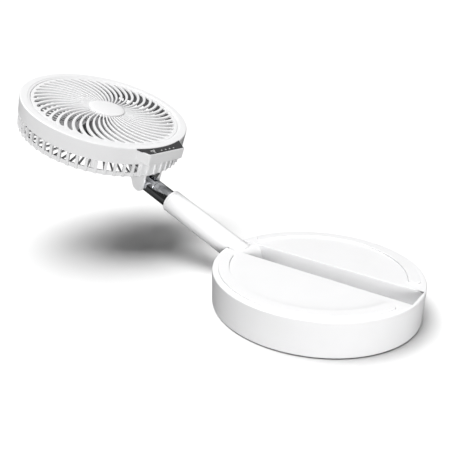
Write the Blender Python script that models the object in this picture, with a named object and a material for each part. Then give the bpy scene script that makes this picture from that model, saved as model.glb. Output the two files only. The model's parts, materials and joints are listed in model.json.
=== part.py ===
"""Folding telescopic desk fan, unfolded and laid low.

A weighted round base has a groove across it. A telescopic pole is hinged in the groove's open end and
rests in a notch of the rim. The fan head is hinged to the pole's end and lies parallel to the pole.
The origin is the middle of the base's foot, +Z is up, and the pole leaves the base towards -X.
"""

import math

import bmesh
import bpy
from mathutils import Matrix, Vector

MM = 0.001
GAP = 0.3 * MM  # between pieces that touch in the real fan
CUT_PAST = 3 * MM  # how far a cutter runs past the face that it opens

# Base
BASE_RADIUS = 100.4 * MM
BASE_TOP = 34.2 * MM
BASE_WALL = 2.2 * MM
BASE_RIM_BEVEL = 1.6 * MM
SHELL_FOOT = 0.8 * MM
PAD_RADIUS = 94 * MM
PAD_THICK = 1.5 * MM
COVER_RADIUS = 97.7 * MM
COVER_THICK = 2.0 * MM
BASE_SCREW_CIRCLE = 80 * MM
BASE_SCREW = (3 * MM, 1.6 * MM, 1.4 * MM, 12 * MM)  # head's radius and height, shank's radius, length
BASE_BOSS_RADIUS = 4.2 * MM
BASE_PILOT_RADIUS, BASE_PILOT_DEPTH = 1.8 * MM, 12 * MM
COVER_SINK_RADIUS, COVER_SINK_DEPTH = 3.4 * MM, 1.2 * MM
PAD_HOLE_RADIUS = 4 * MM
REST_PAD_RADII = (84 * MM, 94.5 * MM)
REST_PAD_HEIGHT = 1.2 * MM
REST_PAD_END_ANGLE = math.radians(20)  # of the end's centre, from the groove's axis

# Groove across the base
GROOVE_HALF = 14.45 * MM
GROOVE_FLOOR = 7.8 * MM
GROOVE_END = 97.6 * MM
TROUGH_WALL = 1.8 * MM
NOTCH_FLOOR = 12.4 * MM

# What the base holds
BALLAST_RADIUS = 93 * MM
BALLAST_THICK = 2.2 * MM
BALLAST_EDGE = 17.2 * MM
CELL_RADIUS = 9.2 * MM
CELL_LENGTH = 65 * MM
CELL_ROWS = (28.2 * MM, 47.2 * MM)
CELL_CAP_RADIUS, CELL_CAP_HIGH = 3 * MM, 1.2 * MM
CRADLE_FLOOR = 1.2 * MM
CRADLE_WALL = 1.2 * MM
CRADLE_HEIGHT = 8 * MM
PORT_HEIGHT = 13.3 * MM
PORT_WIDTH, PORT_TALL, PORT_DEPTH = 8.9 * MM, 3.2 * MM, 7.4 * MM
PORT_WALL, PORT_SUNK = 0.4 * MM, 0.8 * MM
TONGUE_WIDTH, TONGUE_THICK = 6.4 * MM, 0.7 * MM
CHARGE_BOARD = (26 * MM, 22 * MM, 1.6 * MM)

# Pole, measured along it from the base hinge
BASE_HINGE = Vector((-84 * MM, 0, 21.6 * MM))
POLE_RISE = math.radians(21.57)
KNUCKLE_RADIUS = 12.6 * MM
KNUCKLE_HALF = 14.1 * MM
KNUCKLE_SLEEVE_FOOT = 3 * MM
KNUCKLE_PLUG_END = 24 * MM
PIN_RADIUS = 2.6 * MM
PIN_PAST_TROUGH = 2.6 * MM
WASHER_RADIUS, WASHER_THICK = 6.5 * MM, 1.2 * MM
OUTER_TUBE_RADIUS = 13.35 * MM
OUTER_TUBE_BORE = 12.15 * MM
OUTER_TUBE_SPAN = (13.5 * MM, 112.8 * MM)
COLLAR_SPAN = (113.1 * MM, 116 * MM)
MID_TUBE_RADIUS = 11.75 * MM
MID_TUBE_BORE = 10.95 * MM
MID_TUBE_SPAN = (28 * MM, 115.3 * MM)
INNER_TUBE_RADIUS = 10.35 * MM
INNER_TUBE_BORE = 9.45 * MM
INNER_TUBE_SPAN = (36 * MM, 141 * MM)
BUSH_LENGTH = 3.2 * MM
POLE_LENGTH = 161.3 * MM  # from hinge to hinge
NECK_SPIGOT = 12 * MM
NECK_SLOT_HALF, NECK_SLOT_FLOOR = 3 * MM, 5 * MM
NECK_SLOT_ENDS = (2 * MM, 4 * MM)  # from the shoulder, and from the head's hinge

# Head, in its own frame: +Z out of the front, +X towards the hinge, zero at the front ring's middle
HEAD_TILT = math.radians(21.57)
HEAD_HINGE_X = 88 * MM
HEAD_HINGE_DROP = 52.9 * MM
HEAD_RADIUS = 99.9 * MM
HEAD_DEPTH = 36.45 * MM
BAND_BORE = 97.3 * MM
BAND_DEPTH = 18.6 * MM
BAND_LIP = 1.2 * MM
RING_RADII = (88.4 * MM, 97.0 * MM)
RING_THICK = 2.6 * MM
RING_TOP = -0.3 * MM
RING_SLOPE = 1.5 * MM
GRILLE_RADII = (18 * MM, 21.5 * MM, 83 * MM, 88.1 * MM)
GRILLE_RIBS = 45
GRILLE_FACE, GRILLE_THICK = -1.0 * MM, 2.6 * MM
RIB_SHARE = 0.42  # of the pitch that a rib fills
CAP_RADIUS = 20.7 * MM
CAP_CROWN = 0.9 * MM
CAP_PLUG = 2 * MM
CAGE_SLATS = 60
CAGE_FIRST_SLAT = math.radians(5)
SLAT_SHARE = 0.3
CAGE_SPOKE_EVERY = 1
CAGE_HUB_BORE, CAGE_HUB_RADIUS = 6.2 * MM, 24 * MM
CAGE_FOOT_RADIUS = 93 * MM
CAGE_WALL_RADII = (96.6 * MM, 98.2 * MM)
CAGE_RIB_RADIUS = 99.6 * MM
CAGE_SPOKE_THICK = 2.2 * MM
CAGE_LOW_RING = 5.2 * MM
CAGE_TOP_RING = 1.7 * MM
CAGE_SOLID_ANGLE = math.radians(16)  # each side of the hinge, the wall has no slots
YOKE_SPAN = (66.5 * MM, 97 * MM)  # along the head, under the cage
YOKE_TOP = -HEAD_DEPTH - GAP
YOKE_PLATE = 1.8 * MM
EAR_FACES = (10.75 * MM, 14.0 * MM)
EAR_RADIUS = 9.2 * MM
EAR_PIN_RADIUS = 2.5 * MM
EAR_PIN_HALF = 12.5 * MM
HEAD_SCREW_CIRCLE = 94.2 * MM
HEAD_SCREW = (2.2 * MM, 1.5 * MM, 1.1 * MM, 22 * MM)  # as the base's screws
HEAD_BOSS_RADIUS = 3.2 * MM
HEAD_BOSS_TOP, HEAD_PILOT_TOP = -7 * MM, -9 * MM
HEAD_PILOT_RADIUS, HEAD_SHANK_HOLE, HEAD_SINK_RADIUS = 1.4 * MM, 1.5 * MM, 2.5 * MM
HEAD_SINK_DEPTH = 2.4 * MM

# Control box on the head's hinge side
BOX_DEPTH = 14 * MM
BOX_TOP = -0.4 * MM
BOX_FRONT_X = 109.4 * MM
BOX_FRONT_HALF = 27.7 * MM
BOX_BACK_ANGLE = math.radians(21)
BOX_BORDER = 1.3 * MM
BOX_WALL, BOX_ROOF = 2.8 * MM, 3.2 * MM
HOLES_LOW = -8 * MM
CONTROL_BOARD_BORDER, CONTROL_BOARD_SPAN = 5 * MM, (-7.2 * MM, -6 * MM)
LENS_THICK = 1.0 * MM
LENS_BACK_RADIUS = 98.7 * MM
BUTTON_PLACE = (103.1 * MM, -17.2 * MM)
BUTTON_RADIUS = 3.8 * MM
BUTTON_SPAN = (-3.6 * MM, 0.1 * MM)
BUTTON_CHAMFER = 0.4 * MM
INDICATOR_X = 104.2 * MM
INDICATOR_FIRST_Y, INDICATOR_PITCH = -5.5 * MM, 6.4 * MM
INDICATOR_RADIUS, INDICATOR_LENGTH = 0.9 * MM, 4.6 * MM

# Rotor and motor, heights below the front ring's plane
BLADES = 5
BLADE_FIRST = math.radians(-33)
BLADE_WIDTH, BLADE_SWEEP = math.radians(50), math.radians(22)
BLADE_TIP = 84 * MM
BLADE_ROOT = 17.4 * MM
BLADE_THICK = 1.4 * MM
BLADE_HIGH, BLADE_LOW = -11.5 * MM, -27.5 * MM
BLADE_HUB_RADII = (16.1 * MM, 18.3 * MM)
BLADE_HUB_SPAN = (-29 * MM, -9 * MM)
BLADE_CROWN = 1.6 * MM
BLADE_HUB_CHAMFER, BLADE_HUB_ROOF = 2 * MM, 2.2 * MM
SHAFT_RADIUS, SHAFT_SPAN = 1.5 * MM, (-34.6 * MM, -6.2 * MM)
NUT_RADIUS, NUT_SPAN = 4.5 * MM, (-8.7 * MM, -5.9 * MM)
HOLDER_BORE, HOLDER_SPAN = 4.3 * MM, (-36.2 * MM, -15.5 * MM)
HOLDER_FLOOR = 1 * MM
FLANGE_RADIUS, FLANGE_SPAN = 12 * MM, (-33.9 * MM, -32.6 * MM)
BEARING_RADIUS, BEARING_HIGH = 4 * MM, 3 * MM
BEARING_FEET = {"bearing_rear": -34.9 * MM, "bearing_front": -19.5 * MM}
STATOR_RADIUS, STATOR_SPAN = 13.2 * MM, (-32.3 * MM, -22.5 * MM)
MAGNET_RADII, MAGNET_SPAN = (13.6 * MM, 14.5 * MM), (-31 * MM, -23 * MM)
CAN_RADII, CAN_SPAN = (14.8 * MM, 15.8 * MM), (-31.5 * MM, -13.2 * MM)
CAN_CHAMFER, CAN_ROOF = 0.8 * MM, 1.2 * MM


def clear_scene():
    for obj in list(bpy.data.objects):
        bpy.data.objects.remove(obj, do_unlink=True)


def look(name, colour, roughness, metallic=0.0):
    made = bpy.data.materials.new(name)
    made.use_nodes = True
    shader = made.node_tree.nodes["Principled BSDF"]
    shader.inputs["Base Color"].default_value = (*colour, 1)
    shader.inputs["Roughness"].default_value = roughness
    shader.inputs["Metallic"].default_value = metallic
    made.diffuse_color = (*colour, 1)
    return made


def empty_at(name, parent=None, location=(0, 0, 0), turn_y=0.0):
    empty = bpy.data.objects.new(name, None)
    bpy.context.scene.collection.objects.link(empty)
    empty.parent = parent
    empty.location = location
    empty.rotation_euler = (0, turn_y, 0)
    return empty


def place(name, bm, finish, parent=None, location=(0, 0, 0), smooth_below=35):
    """Turn a finished bmesh into a named object."""
    mesh = bpy.data.meshes.new(name)
    bm.to_mesh(mesh)
    bm.free()
    mesh.shade_smooth()
    mesh.set_sharp_from_angle(angle=math.radians(smooth_below))
    obj = bpy.data.objects.new(name, mesh)
    bpy.context.scene.collection.objects.link(obj)
    if finish:
        mesh.materials.append(finish)
    obj.parent = parent
    obj.location = location
    return obj


def combine(target, operation, name, bm):
    """Cut a shape from an object, or add it, in the object's own frame."""
    tool = place(f"{target.name}_{name}", bm, None, target)
    tool.hide_render = True
    tool.display_type = "WIRE"
    modifier = target.modifiers.new(name, "BOOLEAN")
    modifier.operation = operation
    modifier.solver = "EXACT"
    modifier.object = tool


def turned(profile, steps=24):
    """A solid of revolution about Z, from a closed outline of (radius, height) points."""
    bm = bmesh.new()
    points = [bm.verts.new((radius, 0, height)) for radius, height in profile]
    edges = [
        bm.edges.new(pair)
        for pair in zip(points, points[1:] + points[:1])
        if pair[0].co.x + pair[1].co.x > 0
    ]
    bmesh.ops.spin(
        bm, geom=points + edges, axis=(0, 0, 1), angle=2 * math.pi, steps=steps, use_merge=True
    )
    bmesh.ops.remove_doubles(bm, verts=bm.verts, dist=1e-7)
    bmesh.ops.recalc_face_normals(bm, faces=bm.faces)
    return bm


def disc(radius, low, high, steps=24):
    return turned([(0, high), (radius, high), (radius, low), (0, low)], steps)


def ring(bore, radius, low, high, steps=24, chamfer=0.0):
    """A tube, or a disc when the bore is 0, with its upper outer edge chamfered."""
    outer = [(radius - chamfer, high), (radius, high - chamfer), (radius, low)]
    return turned([(bore, high), *outer[0 if chamfer else 1 :], (bore, low)], steps)


def across(bm):
    """Turn a shape so that its Z axis lies along Y."""
    bmesh.ops.rotate(bm, verts=bm.verts, matrix=Matrix.Rotation(math.radians(-90), 3, "X"))
    return bm


def moved(bm, x=0.0, y=0.0, z=0.0):
    bmesh.ops.translate(bm, verts=bm.verts, vec=(x, y, z))
    return bm


def joined(*shapes):
    """Several separate shapes in one bmesh."""
    whole = bmesh.new()
    for shape in shapes:
        mesh = bpy.data.meshes.new("shape")
        shape.to_mesh(mesh)
        shape.free()
        whole.from_mesh(mesh)
        bpy.data.meshes.remove(mesh)
    return whole


def extruded(outline, low, high):
    """A flat outline of (x, y) points, made solid from one height to another."""
    bm = bmesh.new()
    face = bm.faces.new([bm.verts.new((x, y, low)) for x, y in outline])
    grown = bmesh.ops.extrude_face_region(bm, geom=[face])["geom"]
    tops = [item for item in grown if isinstance(item, bmesh.types.BMVert)]
    bmesh.ops.translate(bm, verts=tops, vec=(0, 0, high - low))
    bmesh.ops.recalc_face_normals(bm, faces=bm.faces)
    return bm


def box(low, high):
    outline = [(low[0], low[1]), (high[0], low[1]), (high[0], high[1]), (low[0], high[1])]
    return extruded(outline, low[2], high[2])


def arc(centre, radius, start, end, steps):
    """Points along an arc, from one angle to another."""
    angles = [start + (end - start) * i / steps for i in range(steps + 1)]
    return [
        (centre[0] + radius * math.cos(angle), centre[1] + radius * math.sin(angle))
        for angle in angles
    ]


def lattice(edges, radii, heights, filled, bend=None):
    """One closed solid from the filled cells of a ring-shaped lattice.

    edges are the angles between the cells, filled(i, j, k) says whether a cell is solid, and bend gives
    the angle by which a radius is turned.
    """
    bm = bmesh.new()
    count = len(edges)
    corners = {}
    rims = len(radii) - 1, len(heights) - 1

    def solid(i, j, k):
        return 0 <= j < rims[0] and 0 <= k < rims[1] and filled(i % count, j, k)

    def corner(i, j, k):
        key = (i % count, j, k)
        if key not in corners:
            angle = edges[key[0]] + (bend(radii[j]) if bend else 0)
            corners[key] = bm.verts.new(
                (radii[j] * math.cos(angle), radii[j] * math.sin(angle), heights[k])
            )
        return corners[key]

    sides = {
        (-1, 0, 0): ((0, 0, 0), (0, 0, 1), (0, 1, 1), (0, 1, 0)),
        (1, 0, 0): ((1, 0, 0), (1, 1, 0), (1, 1, 1), (1, 0, 1)),
        (0, -1, 0): ((0, 0, 0), (1, 0, 0), (1, 0, 1), (0, 0, 1)),
        (0, 1, 0): ((0, 1, 0), (0, 1, 1), (1, 1, 1), (1, 1, 0)),
        (0, 0, -1): ((0, 0, 0), (0, 1, 0), (1, 1, 0), (1, 0, 0)),
        (0, 0, 1): ((0, 0, 1), (1, 0, 1), (1, 1, 1), (0, 1, 1)),
    }
    for i in range(count):
        for j in range(rims[0]):
            for k in range(rims[1]):
                if not solid(i, j, k):
                    continue
                for (di, dj, dk), quad in sides.items():
                    if not solid(i + di, j + dj, k + dk):
                        bm.faces.new([corner(i + a, j + b, k + c) for a, b, c in quad])
    bmesh.ops.recalc_face_normals(bm, faces=bm.faces)
    return bm


def rib_edges(count, share, first=0.0):
    """Angles between ribs and gaps in turn, with each rib centred on its own angle."""
    pitch = 2 * math.pi / count
    return [
        first + pitch * i + side * pitch * share / 2 for i in range(count) for side in (-1, 1)
    ]


def polar(radius, angle):
    return radius * math.cos(angle), radius * math.sin(angle)


def screw(head_radius, head_high, shank_radius, length, steps=8):
    """A pan-head screw that points up, with its head's face at zero and a shallow drive socket."""
    socket = head_radius * 0.4
    return turned(
        [
            (0, length),
            (shank_radius * 0.6, length),
            (shank_radius, length - shank_radius),
            (shank_radius, head_high),
            (head_radius, head_high),
            (head_radius * 0.9, 0),
            (socket, 0),
            (socket, head_high * 0.5),
            (0, head_high * 0.5),
        ],
        steps,
    )


def base_screw_places():
    return [polar(BASE_SCREW_CIRCLE, math.radians(45 + 90 * i)) for i in range(4)]


def head_screw_angles():
    return [math.radians(45 + 90 * i) for i in range(4)]


def make_base_shell(finish):
    inner = BASE_RADIUS - BASE_WALL
    under = BASE_TOP - BASE_WALL
    shell = place(
        "base_shell",
        turned(
            [
                (0, BASE_TOP),
                (BASE_RADIUS - BASE_RIM_BEVEL, BASE_TOP),
                (BASE_RADIUS - 0.3 * BASE_RIM_BEVEL, BASE_TOP - 0.3 * BASE_RIM_BEVEL),
                (BASE_RADIUS, BASE_TOP - BASE_RIM_BEVEL),
                (BASE_RADIUS, SHELL_FOOT),
                (inner, SHELL_FOOT),
                (inner, under),
                (0, under),
            ],
            64,
        ),
        finish,
    )
    reach = BASE_RADIUS - BASE_WALL / 2
    side = GROOVE_HALF + TROUGH_WALL
    corner = math.sqrt(reach**2 - side**2)
    middle = BASE_TOP - BASE_WALL / 2
    trough = box((-corner, -side, GROOVE_FLOOR - TROUGH_WALL), (corner, side, middle))
    combine(shell, "UNION", "trough", trough)
    boss_foot = PAD_THICK + COVER_THICK + 3 * GAP
    bosses = [
        moved(disc(BASE_BOSS_RADIUS, boss_foot, middle, 12), x, y) for x, y in base_screw_places()
    ]
    combine(shell, "UNION", "bosses", joined(*bosses))
    above = BASE_TOP + CUT_PAST
    groove = box((-GROOVE_END, -GROOVE_HALF, GROOVE_FLOOR), (GROOVE_END, GROOVE_HALF, above))
    combine(shell, "DIFFERENCE", "groove", groove)
    notch_side = GROOVE_HALF - 0.05 * MM
    notch = box(
        (-BASE_RADIUS - CUT_PAST, -notch_side, NOTCH_FLOOR),
        (-GROOVE_END + CUT_PAST, notch_side, above + CUT_PAST),
    )
    combine(shell, "DIFFERENCE", "notch", notch)
    pin_hole = across(disc(PIN_RADIUS + GAP, -side - CUT_PAST, side + CUT_PAST, 16))
    combine(shell, "DIFFERENCE", "pin_hole", moved(pin_hole, BASE_HINGE.x, 0, BASE_HINGE.z))
    low, high = boss_foot - CUT_PAST, boss_foot + BASE_PILOT_DEPTH
    pilots = [
        moved(disc(BASE_PILOT_RADIUS, low, high, 8), x, y) for x, y in base_screw_places()
    ]
    combine(shell, "DIFFERENCE", "pilots", joined(*pilots))
    half = PORT_WIDTH / 2 + GAP
    tall = PORT_TALL / 2 + GAP
    port = box(
        (-half, inner - CUT_PAST, PORT_HEIGHT - tall),
        (half, BASE_RADIUS + CUT_PAST, PORT_HEIGHT + tall),
    )
    combine(shell, "DIFFERENCE", "port", port)


def make_base_underside(cover_look, pad_look, screw_look):
    low = PAD_THICK + GAP
    cover = place("base_cover", disc(COVER_RADIUS, low, low + COVER_THICK, 56), cover_look)
    sink = low + COVER_SINK_DEPTH
    holes = []
    for x, y in base_screw_places():
        stepped = turned(
            [
                (0, low + COVER_THICK + CUT_PAST),
                (BASE_PILOT_RADIUS, low + COVER_THICK + CUT_PAST),
                (BASE_PILOT_RADIUS, sink),
                (COVER_SINK_RADIUS, sink),
                (COVER_SINK_RADIUS, low - CUT_PAST),
                (0, low - CUT_PAST),
            ],
            12,
        )
        holes.append(moved(stepped, x, y))
    combine(cover, "DIFFERENCE", "screw_holes", joined(*holes))
    pad = place("non_slip_pad", disc(PAD_RADIUS, 0, PAD_THICK, 64), pad_look)
    holes = [
        moved(disc(PAD_HOLE_RADIUS, -CUT_PAST, PAD_THICK + CUT_PAST, 12), x, y)
        for x, y in base_screw_places()
    ]
    combine(pad, "DIFFERENCE", "screw_holes", joined(*holes))
    face = sink - GAP - BASE_SCREW[1]
    for i, (x, y) in enumerate(base_screw_places(), 1):
        place(f"base_screw_{i}", screw(*BASE_SCREW), screw_look, location=(x, y, face))


def make_rest_pads(finish):
    """Two raised crescents on the deck, one on each side of the groove."""
    inner, outer = REST_PAD_RADII
    middle, end = (inner + outer) / 2, (outer - inner) / 2
    low = BASE_TOP + GAP
    for name, side in (("rest_pad_front", -1), ("rest_pad_rear", 1)):
        start, stop = REST_PAD_END_ANGLE, math.pi - REST_PAD_END_ANGLE
        outline = arc((0, 0), outer, start, stop, 28)
        outline += arc(polar(middle, stop), end, stop, stop + math.pi, 6)[1:-1]
        outline += arc((0, 0), inner, stop, start, 28)
        outline += arc(polar(middle, start), end, start - math.pi, start, 6)[1:-1]
        place(name, extruded([(x, side * y) for x, y in outline], low, low + REST_PAD_HEIGHT), finish)


def make_base_contents(steel, cell_look, dark, board_look):
    floor = PAD_THICK + COVER_THICK + 2 * GAP
    top = floor + BALLAST_THICK
    edge_angle = math.asin(BALLAST_EDGE / BALLAST_RADIUS)
    for name, side in (("left", 1), ("right", -1)):
        outline = arc((0, 0), BALLAST_RADIUS, edge_angle, math.pi - edge_angle, 24)
        plate = place(
            f"ballast_plate_{name}", extruded([(x, side * y) for x, y in outline], floor, top), steel
        )
        holes = [
            moved(disc(BASE_BOSS_RADIUS + 2 * GAP, floor - CUT_PAST, top + CUT_PAST, 12), x, y)
            for x, y in base_screw_places()
            if y * side > 0
        ]
        combine(plate, "DIFFERENCE", "boss_holes", joined(*holes))
        make_cradle(f"battery_cradle_{name}", side, top + GAP, dark)
    cell_z = top + GAP + CRADLE_FLOOR + GAP + CELL_RADIUS
    half = CELL_LENGTH / 2
    cell_profile = [
        (0, half),
        (CELL_CAP_RADIUS, half),
        (CELL_CAP_RADIUS, half - CELL_CAP_HIGH),
        (CELL_RADIUS, half - CELL_CAP_HIGH),
        (CELL_RADIUS, -half),
        (0, -half),
    ]
    for i in range(4):
        cell = place(f"battery_cell_{i + 1}", turned(cell_profile, 20), cell_look)
        cell.location = (0, (1 if i < 2 else -1) * CELL_ROWS[i % 2], cell_z)
        cell.rotation_euler = (0, math.radians(90 if i % 2 else -90), 0)
    board_top = PORT_HEIGHT - PORT_TALL / 2 - GAP
    back = BASE_RADIUS - BASE_WALL - 1 * MM
    width, depth, thick = CHARGE_BOARD
    board = box((-width / 2, back - depth, board_top - thick), (width / 2, back, board_top))
    place("charge_board", board, board_look)


def make_cradle(name, side, low, finish):
    """An open tray that holds two cells side by side."""
    wall = CRADLE_WALL
    half = CELL_LENGTH / 2 + GAP
    near, far = CELL_ROWS[0] - CELL_RADIUS - GAP, CELL_ROWS[1] + CELL_RADIUS + GAP
    y_low, y_high = sorted((side * (near - wall), side * (far + wall)))
    tray = box((-half - wall, y_low, low), (half + wall, y_high, low + CRADLE_HEIGHT))
    obj = place(name, tray, finish)
    y_low, y_high = sorted((side * near, side * far))
    hollow = box((-half, y_low, low + CRADLE_FLOOR), (half, y_high, low + CRADLE_HEIGHT + CUT_PAST))
    combine(obj, "DIFFERENCE", "hollow", hollow)


def make_port(steel):
    """A charging socket in the base's wall: a flat metal mouth with a tongue in it."""
    face = BASE_RADIUS - PORT_SUNK
    half, tall = PORT_WIDTH / 2, PORT_TALL / 2
    low = PORT_HEIGHT - tall
    body = box((-half, face - PORT_DEPTH, low), (half, face, low + PORT_TALL))
    socket = place("usb_socket", body, steel)
    wall, back = PORT_WALL, face - PORT_DEPTH
    mouth = box(
        (-half + wall, back + 3 * wall, low + wall),
        (half - wall, face + CUT_PAST, low + PORT_TALL - wall),
    )
    combine(socket, "DIFFERENCE", "mouth", mouth)
    tongue = box(
        (-TONGUE_WIDTH / 2, back + 1.5 * wall, PORT_HEIGHT - TONGUE_THICK / 2),
        (TONGUE_WIDTH / 2, face - 3 * wall, PORT_HEIGHT + TONGUE_THICK / 2),
    )
    combine(socket, "UNION", "tongue", tongue)


def make_base_hinge(steel, dark):
    reach = GROOVE_HALF + TROUGH_WALL + PIN_PAST_TROUGH
    place("base_hinge_pin", across(disc(PIN_RADIUS, -reach, reach, 16)), steel, location=BASE_HINGE)
    low = GROOVE_HALF + TROUGH_WALL + GAP
    for name, side in (("left", 1), ("right", -1)):
        heights = sorted((-side * low, -side * (low + WASHER_THICK)))
        washer = across(ring(PIN_RADIUS + GAP, WASHER_RADIUS, *heights, 20))
        place(f"hinge_washer_{name}", washer, dark, location=BASE_HINGE)


def make_pole(hinge, white, chrome, dark):
    drum = across(disc(KNUCKLE_RADIUS, -KNUCKLE_HALF, KNUCKLE_HALF, 32))
    knuckle = place("pole_knuckle", drum, white, hinge)
    sleeve_end = OUTER_TUBE_SPAN[0] - GAP
    stem = turned(
        [
            (0, KNUCKLE_PLUG_END),
            (OUTER_TUBE_BORE - GAP, KNUCKLE_PLUG_END),
            (OUTER_TUBE_BORE - GAP, sleeve_end),
            (OUTER_TUBE_RADIUS, sleeve_end),
            (OUTER_TUBE_RADIUS, KNUCKLE_SLEEVE_FOOT),
            (0, KNUCKLE_SLEEVE_FOOT),
        ]
    )
    combine(knuckle, "UNION", "stem", stem)
    bore = across(disc(PIN_RADIUS + GAP, -KNUCKLE_HALF - CUT_PAST, KNUCKLE_HALF + CUT_PAST, 16))
    combine(knuckle, "DIFFERENCE", "bore", bore)
    place("outer_tube", ring(OUTER_TUBE_BORE, OUTER_TUBE_RADIUS, *OUTER_TUBE_SPAN), white, hinge)
    collar = ring(OUTER_TUBE_BORE, OUTER_TUBE_RADIUS, *COLLAR_SPAN, chamfer=0.6 * MM)
    place("tube_collar", collar, white, hinge)
    place("mid_tube", ring(MID_TUBE_BORE, MID_TUBE_RADIUS, *MID_TUBE_SPAN), chrome, hinge)
    place("inner_tube", ring(INNER_TUBE_BORE, INNER_TUBE_RADIUS, *INNER_TUBE_SPAN), chrome, hinge)
    for name, bore_radius, radius, tube_foot in (
        ("mid_bush", MID_TUBE_BORE, OUTER_TUBE_BORE - GAP, MID_TUBE_SPAN[0]),
        ("inner_bush", INNER_TUBE_BORE, MID_TUBE_BORE - GAP, INNER_TUBE_SPAN[0]),
    ):
        high = tube_foot - GAP
        place(name, ring(bore_radius, radius, high - BUSH_LENGTH, high), dark, hinge)


def make_neck(hinge, chrome, steel):
    """The pole's last piece: a plug in the inner tube and a round nose on the head hinge."""
    radius = INNER_TUBE_RADIUS
    shoulder = INNER_TUBE_SPAN[1] + GAP
    nose = arc((0, POLE_LENGTH), radius, math.radians(75), 0, 5)
    spigot = INNER_TUBE_BORE - GAP
    profile = [(0, POLE_LENGTH + radius), *nose, (radius, shoulder), (spigot, shoulder)]
    profile += [(spigot, shoulder - NECK_SPIGOT), (0, shoulder - NECK_SPIGOT)]
    neck = place("neck_block", turned(profile), chrome, hinge)
    bore = across(disc(EAR_PIN_RADIUS + GAP, -radius - CUT_PAST, radius + CUT_PAST, 16))
    combine(neck, "DIFFERENCE", "bore", moved(bore, z=POLE_LENGTH))
    half = NECK_SLOT_HALF
    low, high = shoulder + NECK_SLOT_ENDS[0], POLE_LENGTH - NECK_SLOT_ENDS[1]
    slot = box((NECK_SLOT_FLOOR, -half, low), (radius + CUT_PAST, half, high))
    combine(neck, "DIFFERENCE", "slot", slot)
    pin = across(disc(EAR_PIN_RADIUS, -EAR_PIN_HALF, EAR_PIN_HALF, 16))
    place("head_hinge_pin", pin, steel, hinge, (0, 0, POLE_LENGTH))


def box_outline(back_radius, border, corner):
    """The control box from above: an arc along the head, and a straight front with round corners."""
    back = BOX_BACK_ANGLE - border / back_radius
    front_x, front_half = BOX_FRONT_X - border, BOX_FRONT_HALF - border * 0.8
    along = Vector(polar(back_radius, back)) - Vector((front_x, front_half))
    turn = math.atan2(along.y, along.x) - math.pi / 2
    centre = (front_x - corner, front_half - corner * math.tan(turn / 2))
    far = arc(centre, corner, 0, turn, 4)
    near = [(x, -y) for x, y in reversed(far)]
    return arc((0, 0), back_radius, back, -back, 14) + near + far


def make_front_band(head, finish):
    lip = BAND_LIP
    profile = [
        (BAND_BORE, -0.25 * lip),
        (BAND_BORE + 0.5 * lip, 0),
        (HEAD_RADIUS - lip, 0),
        (HEAD_RADIUS - 0.3 * lip, -0.3 * lip),
        (HEAD_RADIUS, -lip),
        (HEAD_RADIUS, -BAND_DEPTH),
        (BAND_BORE, -BAND_DEPTH),
    ]
    band = place("front_band", turned(profile, 60), finish, head)
    wall_middle = (BAND_BORE + HEAD_RADIUS) / 2
    outer = extruded(box_outline(wall_middle, 0, 3 * MM), -BOX_DEPTH, BOX_TOP)
    combine(band, "UNION", "control_box", outer)
    bosses = [
        moved(disc(HEAD_BOSS_RADIUS, -BAND_DEPTH, HEAD_BOSS_TOP, 12), *polar(HEAD_SCREW_CIRCLE, angle))
        for angle in head_screw_angles()
    ]
    combine(band, "UNION", "bosses", joined(*bosses))
    pocket = box_outline(HEAD_RADIUS + 0.8 * MM, BOX_WALL, 1.6 * MM)
    combine(band, "DIFFERENCE", "pocket", extruded(pocket, -BOX_DEPTH - CUT_PAST, -BOX_ROOF))
    recess = box_outline(LENS_BACK_RADIUS - GAP, BOX_BORDER - GAP, 2 * MM)
    floor = BOX_TOP - LENS_THICK - GAP
    combine(band, "DIFFERENCE", "lens_recess", extruded(recess, floor, CUT_PAST))
    combine(band, "DIFFERENCE", "lens_holes", panel_holes())
    low, high = -BAND_DEPTH - CUT_PAST, HEAD_PILOT_TOP
    pilots = [
        moved(disc(HEAD_PILOT_RADIUS, low, high, 8), *polar(HEAD_SCREW_CIRCLE, angle))
        for angle in head_screw_angles()
    ]
    combine(band, "DIFFERENCE", "pilots", joined(*pilots))


def indicator_places():
    return [(INDICATOR_X, INDICATOR_FIRST_Y + INDICATOR_PITCH * i) for i in range(4)]


def panel_holes():
    """Cutters for the button and the indicators, through the panel and the box's top."""
    span = (HOLES_LOW, CUT_PAST)
    holes = [moved(disc(BUTTON_RADIUS + GAP, *span, 20), *BUTTON_PLACE)]
    holes += [moved(disc(INDICATOR_RADIUS + GAP, *span, 8), x, y) for x, y in indicator_places()]
    return joined(*holes)


def make_controls(head, lens_look, light_look, button_look, board_look):
    low = BOX_TOP - LENS_THICK
    lens = extruded(box_outline(LENS_BACK_RADIUS, BOX_BORDER, 1.8 * MM), low, BOX_TOP)
    panel = place("control_lens", lens, lens_look, head)
    combine(panel, "DIFFERENCE", "holes", panel_holes())
    for i, (x, y) in enumerate(indicator_places(), 1):
        pipe = disc(INDICATOR_RADIUS, -INDICATOR_LENGTH, 0, 8)
        place(f"indicator_{i}", pipe, light_look, head, (x, y, BOX_TOP))
    foot, face = BUTTON_SPAN
    button = ring(0, BUTTON_RADIUS, foot, face, 20, BUTTON_CHAMFER)
    place("power_button", button, button_look, head, (*BUTTON_PLACE, BOX_TOP))
    outline = box_outline(HEAD_RADIUS + 1.2 * MM, CONTROL_BOARD_BORDER, 1 * MM)
    place("control_board", extruded(outline, *CONTROL_BOARD_SPAN), board_look, head)


def rib_bend(radius):
    """How far a grille rib has swept round by this radius."""
    reach = max(0.0, radius / (100 * MM) - 0.245)
    return math.radians(22.1 * reach + 37.1 * reach**2)


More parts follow.
